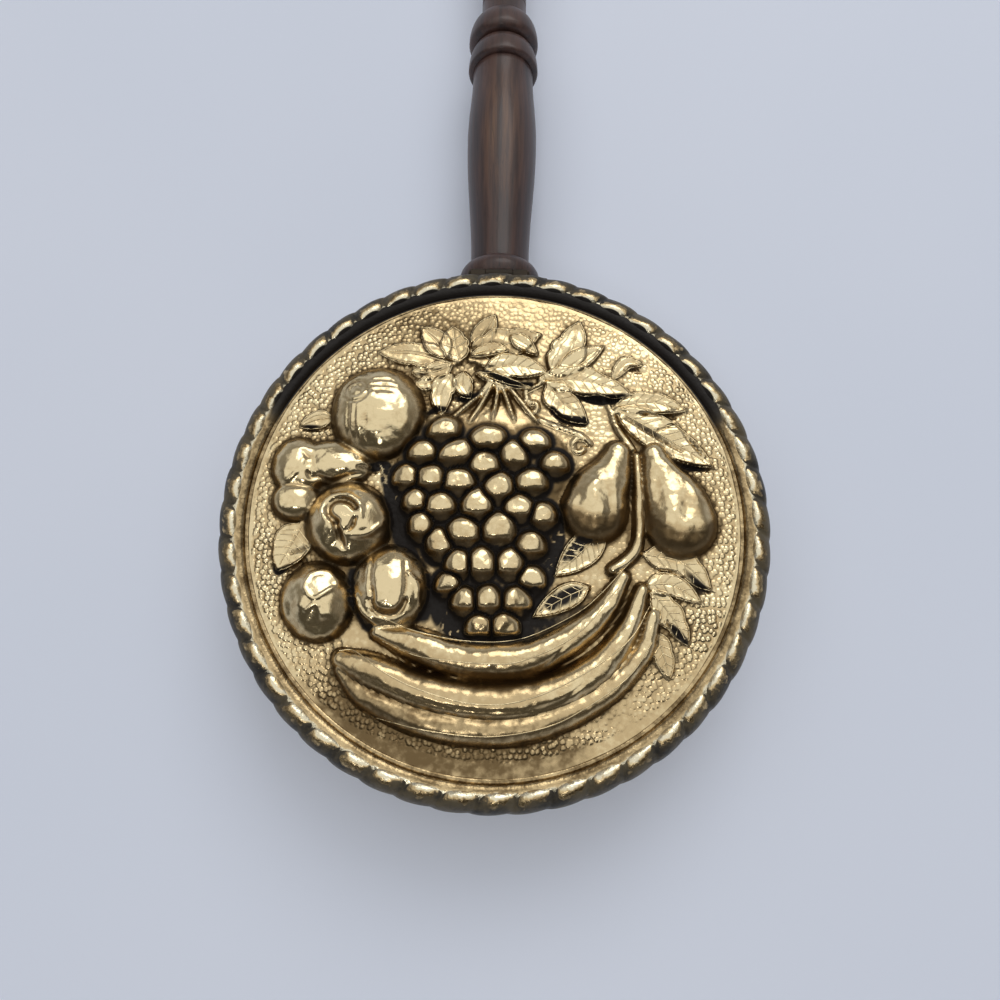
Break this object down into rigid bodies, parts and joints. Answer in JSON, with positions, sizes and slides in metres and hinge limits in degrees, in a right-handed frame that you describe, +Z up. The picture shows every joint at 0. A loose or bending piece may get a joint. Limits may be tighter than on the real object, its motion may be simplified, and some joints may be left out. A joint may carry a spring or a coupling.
{
  "type": "bed warming pan",
  "caption": "Round brass bed warming pan with a hinged lid embossed with fruit, a rope border and a long turned wooden handle with a hanging ring.",
  "frame": {"origin": "centre of the pan's flat base, on the surface that the pan stands on", "axes": "+Z up, +Y along the handle from the pan to the hanging ring, X along the lid's hinge"},
  "size_m": [0.22, 0.6942, 0.0715],
  "materials": {
    "lid_brass": "polished, worn, dark patina in the hollows",
    "pan_brass": "spun, satin",
    "fitting_brass": "aged",
    "steel": "zinc plated",
    "handle_wood": "dark walnut stain, satin lacquer"
  },
  "bodies": {
    "pan": {"pan_bowl": "pan_brass", "rim_wire": "steel", "hinge_leaf_pan": "fitting_brass", "hinge_pin": "fitting_brass", "pan_leaf_rivets": "fitting_brass", "handle_socket": "fitting_brass", "socket_rivets": "fitting_brass", "bolt_saddle": "fitting_brass", "handle_bolt": "steel", "handle_insert": "fitting_brass", "handle_lower": "handle_wood", "middle_stud": "steel", "handle_middle": "handle_wood", "upper_stud": "steel", "handle_upper": "handle_wood", "screw_eye": "fitting_brass"},
    "lid": {"lid_cover": "lid_brass", "hinge_leaf_lid": "fitting_brass", "lid_leaf_rivets": "fitting_brass"},
    "ring": {"hanging_ring": "fitting_brass"}
  },
  "joints": [
    {"name": "lid_hinge", "type": "hinge", "parent": "pan", "child": "lid", "pos_m": [0, 0.11365, 0.0506], "axis": [-1, 0, 0], "range_deg": [0, 110]},
    {"name": "ring_swing", "type": "hinge", "parent": "pan", "child": "ring", "pos_m": [0, 0.576, 0.02805], "axis": [1, 0, 0], "range_deg": [-20, 120]}
  ]
}
